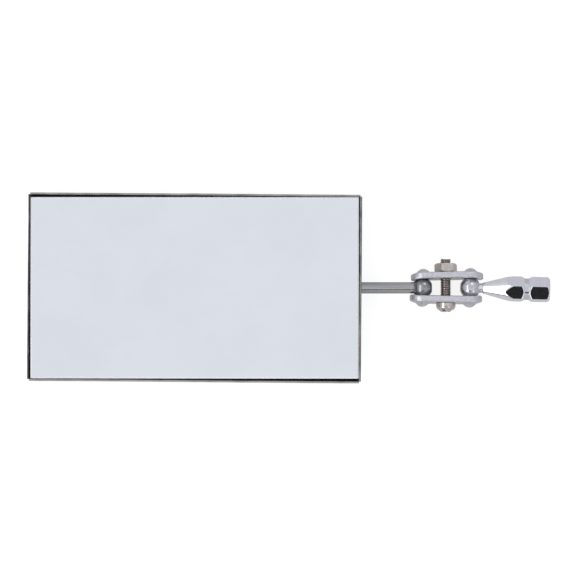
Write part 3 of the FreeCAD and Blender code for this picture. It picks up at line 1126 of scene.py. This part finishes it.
    def build(self) -> None:
        """Makes and dresses the rod, the ball, the strap and its rivets."""
        dress(self.rod(), "mirror_head", "stem_steel", STEM_STEEL.material(), "stem_rod")
        dress(self.ball(), "stem_ball", "ball_steel", BALL_STEEL.material(), "stem_ball")
        dress(self.strap(), "mirror_head", "strap_steel", STRAP_STEEL.material(), "stem_saddle")
        dress(self.rivets(), "mirror_head", "rivet_aluminium", RIVET_ALUMINIUM.material(),
              "saddle_rivets")


class Side(Enum):
    """The two sides of the clamp."""

    NUT = 1
    HEAD = -1


@dataclass
class Clamp:
    """The two pressed plates, the screw and the nut."""

    axes: Axes
    ball_spacing: float = 13.1
    plate: tuple[float, float, float] = (20.0, 7.0, 1.85)
    edge: float = 0.5
    edge_run: float = 1.1
    stem_gap: float = 2.28
    tail_gap: float = 2.5
    nut_slip: float = 0.15
    head_slip: float = -0.18
    dome_radius: float = 2.2
    dome_height: float = 1.12
    dome_blend: float = 1.8
    # painted shade: a darker ring in the concave foot round each dome
    foot_shade_radius: float = 2.3
    foot_shade_width: float = 0.5
    foot_shade: float = 0.35
    seats: tuple[float, float] = (2.835, 2.985)
    # how fast the painted shade in the ball seats fades in
    seat_shade_fade: float = 0.1
    curl: float = 0.34
    curl_start: float = 6.9
    curl_run: float = 3.1
    dent: float = 0.025
    dent_lengths: tuple[float, float] = (5.0, 4.0)
    dent_seeds: tuple[int, int] = (31, 5)
    screw_x: float = 6.33
    hole: float = 1.65
    lift: float = 0.06
    crest: float = 1.49
    root: float = 1.22
    pitch: float = 0.5
    length: float = 12.3
    thread_rings: int = 14
    crest_flat: float = 0.06
    flank: float = 0.86
    tip_bevel: float = 0.2
    tip_dip: float = 0.18
    tip_run: float = 1.2
    cup_share: float = 0.55
    cup_depth: float = 0.25
    head_radius: float = 2.7
    head_height: float = 2.4
    head_side: float = 1.35
    head_flat: float = 1.25
    recess_turn: float = 23.0
    recess_depth: float = 1.6
    recess_reach: float = 1.95
    recess_start: float = 1.2
    slot_half: float = 0.45
    slot_taper: float = 0.12
    slot_reach: float = 1.9
    slot_wall: float = 0.14
    nut_flats: float = 5.5
    nut_height: float = 2.4
    nut_turn: float = 9.0
    nut_chamfer: float = 0.12
    nut_countersink: float = 0.2
    nut_play: float = 0.03
    # painted shade in the nut's bore and countersinks
    nut_bore_shade: float = 0.7
    nut_bore_shade_reach: float = 0.25
    nut_bore_shade_fade: float = 0.2
    # depth at which the painted shade in the cross recess is full
    recess_shade_depth: float = 0.5

    def gap(self, x: float) -> float:
        """From the middle plane to a plate's inner face, this far from the stem ball."""
        return self.stem_gap + (self.tail_gap - self.stem_gap) * x / self.ball_spacing

    def seating(self) -> float:
        """Where the nut and the screw head sit, each side of the middle plane."""
        return self.gap(self.screw_x) + self.plate[2] + self.lift

    def dome(self, distance: Array) -> Array:
        """Height of the pressed dome, this far from its middle.

        A sphere's cap above, and below it a hollow arc that meets the flat face.

        Args:
            distance: from the middle of the dome.

        Returns:
            The height above the flat face.
        """
        low = self.dome_height - self.dome_radius
        reach = self.dome_radius + self.dome_blend
        foot = math.sqrt(reach ** 2 - (self.dome_blend - low) ** 2)
        meeting = foot * self.dome_radius / reach
        cap = low + np.sqrt(np.clip(self.dome_radius ** 2 - distance ** 2, 0, None))
        off = np.clip(foot - distance, 0, self.dome_blend)
        arc = self.dome_blend - np.sqrt(self.dome_blend ** 2 - off ** 2)
        return np.where(distance < meeting, cap, arc)

    def outline_reach(self, angle: Array, hole_x: float) -> Array:
        """Distance from the screw hole to the plate's outline, at each angle.

        The outline is two straight sides and two half circles; the ray meets a side first
        where that point lies between the circles' centres, and a circle otherwise.

        Args:
            angle: the ray's angle from the length of the plate.
            hole_x: the hole's place from the middle of the plate.

        Returns:
            The distance at each angle.
        """
        radius = self.plate[1] / 2
        span = self.plate[0] / 2 - radius
        cosine, sine = np.cos(angle), np.sin(angle)
        to_side = radius / np.maximum(np.abs(sine), SMALLEST)
        on_side = np.abs(hole_x + cosine * to_side) <= span
        centre = np.where(cosine >= 0, span, -span) - hole_x
        along = centre * cosine
        to_end = along + np.sqrt(np.clip(radius ** 2 - centre ** 2 + along ** 2, 0, None))
        return np.where(on_side, to_side, to_end)

    def plate_piece(self, side: Side, slip: float) -> bpy.types.Object:
        """A pressed plate as a closed ring round its screw hole.

        Rays from the hole carry rows of points to the outline over the inner face and back over
        the outer face. The outer face rises by the domes, the inner one by the ball seats, both
        droop towards the ends, and each falls by a quarter circle at the rounded outline.

        Args:
            side: the side of the clamp.
            slip: how far the plate sits off centre.

        Returns:
            The plate.
        """
        middle = self.ball_spacing / 2
        hole_x = self.screw_x - middle - slip
        thick = self.plate[2]
        angle = around(320)
        reach = self.outline_reach(angle, hole_x)
        edge_run = self.edge * self.edge_run
        steps = np.concatenate([[0, 0.06], np.linspace(0.15, 1, num=44)])[:, None]
        inner_rows = self.hole + steps * (reach - edge_run - self.hole)
        swing = np.linspace(0, math.pi / 2, num=9)[1:, None]
        edge_rows = reach - edge_run * (1 - np.sin(swing))
        rows = np.concatenate([inner_rows, edge_rows])
        x, z = hole_x + rows * np.cos(angle), rows * np.sin(angle)
        radius = self.plate[1] / 2
        span = self.plate[0] / 2 - radius
        inside = radius - np.hypot(x - np.clip(x, -span, span), z)
        short = np.clip(self.edge - np.clip(inside, 0, None), 0, self.edge)
        fall = self.edge - np.sqrt(self.edge ** 2 - short ** 2)
        droop = self.curl * smooth_step((np.abs(x) - self.curl_start) / self.curl_run)
        (seed, cross_seed), (longest, cross_longest) = self.dent_seeds, self.dent_lengths
        dents = self.dent * wobble(x + 0.6 * z, seed + side.value, longest)
        dents = dents * wobble(z, cross_seed, cross_longest)
        domes = sum(self.dome(np.hypot(x - centre, z)) for centre in (-middle, middle))
        hollow = np.zeros_like(x)
        for ball_x, seat in ((0.0, self.seats[0]), (self.ball_spacing, self.seats[1])):
            off = np.hypot(x + middle + slip - ball_x, z)
            cap = np.sqrt(np.clip(seat ** 2 - off ** 2, 0, None)) - self.gap(ball_x)
            hollow = np.maximum(hollow, cap)
        outer = thick + domes - droop - fall + dents
        inner = hollow - droop + fall
        # painted shade in the ball seats, where the balls sit against the plate
        seat_shade = smooth_step(hollow / self.seat_shade_fade)
        # painted shade in a ring at each dome's foot
        from_foot = np.abs(np.hypot(np.abs(x) - middle, z) - self.foot_shade_radius)
        foot_shade_ring = self.foot_shade * smooth_step(1 - from_foot / self.foot_shade_width)
        height = np.concatenate([inner, outer[::-1]])
        mark = np.concatenate([seat_shade, foot_shade_ring[::-1]])
        x, z = np.concatenate([x, x[::-1]]), np.concatenate([z, z[::-1]])
        slope = math.atan((self.tail_gap - self.stem_gap) / self.ball_spacing)
        grid = np.stack([
            middle + slip + x * math.cos(slope) - height * math.sin(slope),
            (self.gap(middle) + x * math.sin(slope) + height * math.cos(slope)) * side.value,
            z,
        ], axis=-1)
        name = f"{side.name.lower()}_side_pressing"
        return Surface().add(grid, mark, loop=True).build(name, self.axes, sharp=45)

    def thread(self) -> tuple[Array, Array]:
        """The screw's shank: a true helix from the head to the bevelled tip.

        The radius follows a flattened triangle wave of y / pitch - turn, so a crest climbs one
        pitch in each turn; a falling limit near the end makes a small bevel. The rolled tip is
        cupped, and dips by the squared cosine of the turn.

        Returns:
            The grid of points and how deep each lies in the groove.
        """
        angle = around(64)
        rings = int(self.length / self.pitch) * self.thread_rings + 1
        y = np.linspace(0, self.length, rings)[:, None]
        wave = np.abs(2 * ((y / self.pitch - angle / FULL_TURN) % 1) - 1)
        ridge = smooth_step((wave - self.crest_flat) / self.flank)
        radius = self.root + (self.crest - self.root) * ridge
        tip = self.crest - self.tip_bevel + (self.length - y)
        radius = soft_least([radius, tip + 0 * radius], blend=0.03)
        near_tip = smooth_step((y - self.length + self.tip_run) / self.tip_run)
        dip = self.tip_dip * np.cos(angle) ** 2 * near_tip
        grid = np.stack([radius * np.sin(angle), y - dip, radius * np.cos(angle)], axis=-1)
        cup = grid[-1:] * np.array([self.cup_share, 1, self.cup_share])
        cup = cup - np.array([0, self.cup_depth, 0])
        start, middle = grid[:1] * np.array([0, 1, 0]), cup * np.array([0, 1, 0])
        middle[..., 1] = cup[..., 1].mean()
        # painted shade: the thread's roots are darkened by their depth
        hollow = 1 - ridge
        mark = np.concatenate([hollow[:1], hollow, hollow[-1:], hollow[-1:]])
        return np.concatenate([start, grid, cup, middle]), mark

    def recess(self, x: Array, z: Array) -> Array:
        """Depth of the cross recess at a place on the head.

        Each of the two slots is deepest in the middle and runs out at its ends, and its walls
        lean outwards; the deeper of the two counts. The cross is turned about the screw.

        Args:
            x: places along the clamp from the middle of the head.
            z: places across it.

        Returns:
            The depth at each place.
        """
        turn = math.radians(self.recess_turn)
        x, z = (x * math.cos(turn) + z * math.sin(turn), z * math.cos(turn) - x * math.sin(turn))
        depths = []
        for along, off in ((x, z), (z, x)):
            outwards = np.clip(np.abs(along), 0, self.slot_reach) / self.slot_reach
            half_width = self.slot_half - self.slot_taper * outwards
            run_out = (np.abs(along) / self.recess_reach) ** 2.5
            floor = self.recess_depth * np.clip(1 - run_out, 0, None)
            wall = np.clip((half_width - np.abs(off)) / self.slot_wall, 0, 1)
            depths.append(floor * wall)
        return np.maximum(*depths)

    def screw(self) -> bpy.types.Object:
        """The pan-head screw: a threaded shank and a lathe-shaped head with its recess.

        Returns:
            The screw.
        """
        grid, mark = self.thread()
        shift = np.array([self.screw_x, -self.seating(), 0])
        surface = Surface().add(grid + shift, mark)
        profile = refined(rounded([
            (0.0, 0.0, 0),
            (0.0, self.head_radius, 0.12),
            (-self.head_side, self.head_radius, 1.3),
            (-self.head_height, self.head_flat, 1.0),
            (-self.head_height, 0.0, 0),
        ], steps=12), spacing=0.05)
        head = lathe(profile, count=192)[..., [1, 0, 2]]
        crown = profile[:, :1] < -self.recess_start
        depth = self.recess(head[..., 0], head[..., 2]) * crown
        head[..., 1] += depth
        # painted shade in the cross recess, darker with depth
        surface.add(head + shift, smooth_step(depth / self.recess_shade_depth))
        return surface.build("clamp_screw_cut", self.axes, sharp=50)

    def nut(self) -> bpy.types.Object:
        """The nut: the softened least of a hexagon and a bevelled disc, round a bevelled bore.

        Returns:
            The nut.
        """
        angle = around(240)
        half, chamfer, mouth = self.nut_flats / 2, self.nut_chamfer, self.nut_countersink
        corner = half / math.cos(math.pi / 6)
        bevel = (corner - half + chamfer) * math.tan(math.radians(30))
        bore = self.crest + self.nut_play
        profile = refined(rounded([
            (chamfer, bore, 0),
            (0.0, bore + chamfer, 0),
            (0.0, half - chamfer, 0.1),
            (bevel, corner + 0.02, 0.05),
            (self.nut_height - bevel, corner + 0.02, 0.05),
            (self.nut_height, half - chamfer, 0.1),
            (self.nut_height, bore + mouth, 0),
            (self.nut_height - mouth, bore, 0),
        ]), spacing=0.08)
        turned = profile[:, 1:] + 0 * angle
        radius = soft_least([turned, hexagon_reach(angle, half) + 0 * turned], blend=0.035)
        place = angle + math.radians(self.nut_turn)
        grid = np.stack([
            self.screw_x + radius * np.sin(place),
            self.seating() + profile[:, :1] + 0 * angle,
            radius * np.cos(place),
        ], axis=-1)
        # painted shade in the bore and its countersinks
        mark = smooth_step((bore + self.nut_bore_shade_reach - radius) / self.nut_bore_shade_fade)
        mark = self.nut_bore_shade * mark
        return Surface().add(grid, mark, loop=True).build("hexagon_nut", self.axes, sharp=50)

    def build(self) -> None:
        """Makes and dresses the plates, the screw and the nut."""
        zinc, nickel = ZINC_PLATE.material(), NICKEL_FASTENER.material()
        dress(self.plate_piece(Side.HEAD, self.head_slip), "clamp", "zinc_plate", zinc,
              "head_side_plate")
        dress(self.plate_piece(Side.NUT, self.nut_slip), "nut_plate", "zinc_plate", zinc,
              "nut_side_plate")
        dress(self.screw(), "screw", "nickel_fastener", nickel, "clamp_screw")
        dress(self.nut(), "nut", "nickel_fastener", nickel, "clamp_nut")


@dataclass
class PlugInTail:
    """The chromed hexagonal tail and its ball."""

    axes: Axes
    flats: float = 6.35
    length: float = 21.95
    ball_radius: float = 2.925
    ball_flat: float = 0.15
    flat_edge: float = 0.08
    neck_face: float = 2.38
    neck_radius: float = 1.3
    neck_start: float = 2.25
    cone_start: float = 3.5
    cone_start_radius: float = 1.5
    cone_end: float = 11.7
    cone_step: float = 0.15
    corner_spare: float = 0.03
    groove_from_end: float = 6.4
    groove_top: float = 2.95
    groove_floor: float = 1.2
    groove_radius: float = 2.965
    bevel: float = 0.7
    bevel_slope: float = 1.1
    # painted shade in the tail's groove
    groove_shade: float = 0.8
    groove_shade_reach: float = 0.25
    groove_shade_fade: float = 0.3
    neck_margin: float = 0.3

    def shank(self) -> bpy.types.Object:
        """Neck, cone and grooved hexagon in one closed skin.

        The radius at each place is the softened least of the hexagon and the turned profile.

        Returns:
            The shank.
        """
        corner = self.flats / math.sqrt(3) + self.corner_spare
        groove = self.length - self.groove_from_end
        profile = refined(rounded([
            (self.neck_start, 0, 0),
            (self.neck_start, self.neck_radius, 0),
            (self.cone_start - self.cone_step, self.neck_radius, 0.1),
            (self.cone_start, self.cone_start_radius, 0.1),
            (self.cone_end, corner, 1.5),
            (groove - self.groove_top / 2, corner, 0.12),
            (groove - self.groove_floor / 2, self.groove_radius, 0.2),
            (groove + self.groove_floor / 2, self.groove_radius, 0.2),
            (groove + self.groove_top / 2, corner, 0.12),
            (self.length - self.bevel, corner, 0.5),
            (self.length, corner - self.bevel * self.bevel_slope, 0.15),
            (self.length, 0, 0),
        ]), spacing=0.09)
        angle = around(240)
        turned = profile[:, 1:] + 0 * angle
        hexagon = hexagon_reach(angle, self.flats / 2)
        radius = soft_least([turned, hexagon + 0 * turned], blend=0.03)
        radius = np.where(turned < self.flats / 2 - self.neck_margin, turned, radius)
        grid = np.stack([
            profile[:, :1] + 0 * angle,
            -radius * np.sin(angle),
            radius * np.cos(angle),
        ], axis=-1)
        # painted shade in the groove, darker with depth
        shallowest = self.groove_radius + self.groove_shade_reach
        deep = smooth_step((shallowest - turned) / self.groove_shade_fade)
        near = smooth_step(1 - np.abs(profile[:, :1] - groove) / self.groove_top)
        surface = Surface().add(grid, deep * near * self.groove_shade)
        return surface.build("plug_in_tail", self.axes, sharp=40)

    def ball(self) -> bpy.types.Object:
        """The polished ball: a sphere with a flat on its far side and one under the neck.

        Returns:
            The ball.
        """
        start = math.acos(1 - self.ball_flat / self.ball_radius)
        stop = math.pi - math.acos(self.neck_face / self.ball_radius)
        angle = np.linspace(start, stop, num=72)
        arc = np.stack([-self.ball_radius * np.cos(angle), self.ball_radius * np.sin(angle)], 1)
        face = -self.ball_radius + self.ball_flat
        profile = np.concatenate([
            [[face, 0], [face, arc[0, 1] - self.flat_edge]],
            arc,
            [[self.neck_face, arc[-1, 1] - self.flat_edge], [self.neck_face, 0]],
        ])
        surface = Surface().add(lathe(profile, count=144))
        return surface.build("tail_ball_turned", self.axes, sharp=40)

    def build(self) -> None:
        """Makes and dresses the tail and its ball."""
        chrome = TAIL_CHROME.material()
        dress(self.shank(), "tail", "tail_chrome", chrome, "tail_shank")
        dress(self.ball(), "tail_ball", "tail_chrome", BALL_CHROME.material(), "tail_ball")


# --- studio --------------------------------------------------------------------------------

def aim(azimuth: float, tilt: float, distance: float) -> Vector:
    """The place at an angle round the object, an angle from straight up and a distance.

    Args:
        azimuth: anticlockwise from +X, in degrees.
        tilt: from straight up, in degrees.
        distance: in metres.

    Returns:
        The place.
    """
    around_z, off = math.radians(azimuth), math.radians(tilt)
    return distance * Vector((math.cos(around_z) * math.sin(off),
                              math.sin(around_z) * math.sin(off), math.cos(off)))


@dataclass(frozen=True)
class SoftLight:
    """A soft rectangular light that faces the object; its sides are across and away."""

    name: str
    place: Vector
    sides: tuple[float, float]
    radiance: float
    shift: tuple[float, float, float] = (0.0, 0.0, 0.0)

    def build(self) -> None:
        """Makes the light; its power is radiance times pi times its area."""
        data = bpy.data.lights.new(self.name, "AREA")
        data.shape = "RECTANGLE"
        data.size, data.size_y = self.sides
        data.energy = self.radiance * math.pi * self.sides[0] * self.sides[1]
        lamp = bpy.data.objects.new(self.name, data)
        lamp.location = self.place + Vector(self.shift)
        lamp.rotation_euler = self.place.to_track_quat("Z", "Y").to_euler()
        lamp.visible_camera = False
        bpy.context.scene.collection.objects.link(lamp)


@dataclass(frozen=True)
class Flag:
    """A dark card that faces the object and is seen only in reflections."""

    name: str
    place: Vector
    sides: tuple[float, float]
    shade: float = 0.03


@dataclass
class Studio:
    """A pale floor, an even pale surround, soft lights, dark flags and the camera."""

    view_width: float = 0.1586
    lens: float = 300.0
    sensor: float = 36.0
    centre: tuple[float, float] = (-0.00021, -0.00005)
    focus_z: float = 0.0075
    farthest: float = 20.0
    zenith: Colour = (0.785, 0.81, 0.86)
    horizon: Colour = (0.58, 0.585, 0.65)
    surround_seen: float = 1.05
    floor_seen: float = 0.85
    floor_mirrored: float = 0.38
    floor_colour: Colour = (0.25, 0.25, 0.252)
    floor_size: float = 3.0
    floor_drop: float = 0.00005
    lights: tuple[SoftLight, ...] = (
        SoftLight("strip", aim(180, 30, 1.0), (1.3, 0.26), 2.0, (0, -0.1, 0)),
        SoftLight("low_panel", aim(239, 58, 1.0), (0.5, 0.5), 1.8),
        SoftLight("fill", aim(62, 52, 1.1), (0.4, 0.4), 1.2),
        SoftLight("rim", aim(-50, 60, 1.1), (0.3, 0.3), 1.1),
    )
    flags: tuple[Flag, ...] = (
        Flag("flag_high", aim(-90, 37, 0.6), (0.3, 0.16)),
        Flag("flag_low", aim(246, 77, 0.6), (0.4, 0.1)),
    )

    def camera(self) -> None:
        """A long lens looking straight down, with +Y at the top."""
        data = bpy.data.cameras.new("camera")
        data.lens = self.lens
        data.sensor_width = self.sensor
        data.clip_end = self.farthest
        camera = bpy.data.objects.new("camera", data)
        distance = self.view_width * self.lens / self.sensor
        camera.location = (*self.centre, self.focus_z + distance)
        bpy.context.scene.collection.objects.link(camera)
        bpy.context.scene.camera = camera

    def surround(self) -> None:
        """A surround that is white to look at and pale grey to light and reflect."""
        world = bpy.data.worlds.new("surround")
        world.use_nodes = True
        tree = world.node_tree
        tree.nodes.clear()
        output = tree.nodes.new("ShaderNodeOutputWorld")
        seen = tree.nodes.new("ShaderNodeLightPath").outputs["Is Camera Ray"]
        direction = tree.nodes.new("ShaderNodeTexCoord").outputs["Generated"]
        split = tree.nodes.new("ShaderNodeSeparateXYZ")
        rise = tree.nodes.new("ShaderNodeMapRange")
        colour = tree.nodes.new("ShaderNodeMix")
        colour.data_type = "RGBA"
        colour.inputs[MIX_FIRST].default_value = (*self.horizon, 1)
        colour.inputs[MIX_SECOND].default_value = (*self.zenith, 1)
        glow, white = (tree.nodes.new("ShaderNodeBackground") for _ in range(2))
        white.inputs["Color"].default_value = (1, 1, 1, 1)
        white.inputs["Strength"].default_value = self.surround_seen
        choice = tree.nodes.new("ShaderNodeMixShader")
        tree.links.new(direction, split.inputs[0])
        tree.links.new(split.outputs["Z"], rise.inputs["Value"])
        tree.links.new(rise.outputs[0], colour.inputs["Factor"])
        tree.links.new(colour.outputs[MIX_RESULT], glow.inputs["Color"])
        tree.links.new(seen, choice.inputs[0])
        tree.links.new(glow.outputs[0], choice.inputs[1])
        tree.links.new(white.outputs[0], choice.inputs[2])
        tree.links.new(choice.outputs[0], output.inputs[0])
        bpy.context.scene.world = world

    def card(self, name: str, sides: tuple[float, float], place: Vector) -> bpy.types.Object:
        """A flat card that is part of the studio.

        Args:
            name: the card's name.
            sides: its size, in metres.
            place: its middle.

        Returns:
            The card, lying flat.
        """
        mesh = bpy.data.meshes.new(name)
        x, y = sides[0] / 2, sides[1] / 2
        mesh.from_pydata([(-x, -y, 0), (x, -y, 0), (x, y, 0), (-x, y, 0)], [], [(0, 1, 2, 3)])
        card = bpy.data.objects.new(name, mesh)
        card.location = place
        bpy.context.scene.collection.objects.link(card)
        return card

    def plain(self, name: str, colour: Colour) -> Sheet:
        """A matt material of one colour for the studio.

        Args:
            name: the material's name.
            colour: its colour.

        Returns:
            The material's sheet.
        """
        sheet = Sheet(name)
        sheet.shader.inputs["Base Color"].default_value = (*colour, 1)
        sheet.shader.inputs["Roughness"].default_value = 1.0
        sheet.shader.inputs["Specular IOR Level"].default_value = 0.0
        return sheet

    def floor(self) -> None:
        """The pale floor: it glows to the camera, and less in reflections."""
        sides = (self.floor_size, self.floor_size)
        floor = self.card("floor", sides, Vector((0, 0, -self.floor_drop)))
        sheet = self.plain("pale_floor", self.floor_colour)
        seen = sheet.tree.nodes.new("ShaderNodeLightPath").outputs["Is Camera Ray"]
        sheet.shader.inputs["Emission Color"].default_value = (1, 1, 1, 1)
        glow = sheet.span(seen, 0, 1, self.floor_mirrored, self.floor_seen)
        sheet.link(glow, "Emission Strength")
        floor.data.materials.append(sheet.material)

    def raise_flag(self, flag: Flag) -> None:
        """Puts up one dark card, seen only in reflections.

        Args:
            flag: the card's name, place, size and shade.
        """
        card = self.card(flag.name, flag.sides, flag.place)
        card.rotation_euler = flag.place.to_track_quat("Z", "Y").to_euler()
        card.data.materials.append(self.plain(flag.name, (flag.shade,) * 3).material)
        card.visible_camera = False
        card.visible_diffuse = False
        card.visible_shadow = False

    def build(self) -> None:
        """Makes the whole studio."""
        bpy.context.scene.view_settings.view_transform = "Standard"
        self.camera()
        self.surround()
        self.floor()
        for flag in self.flags:
            self.raise_flag(flag)
        for light in self.lights:
            light.build()


def main() -> None:
    """Builds the studio and every sub-assembly."""
    logging.basicConfig(level=logging.INFO, format="%(name)s %(message)s")
    Studio().build()
    head = mirror_axes()
    MirrorTray(head).build()
    BallStem(head).build()
    Clamp(clamp_axes()).build()
    PlugInTail(tail_axes(TAIL_ROLL)).build()
    bpy.context.view_layer.update()


if __name__ == "__main__":
    main()
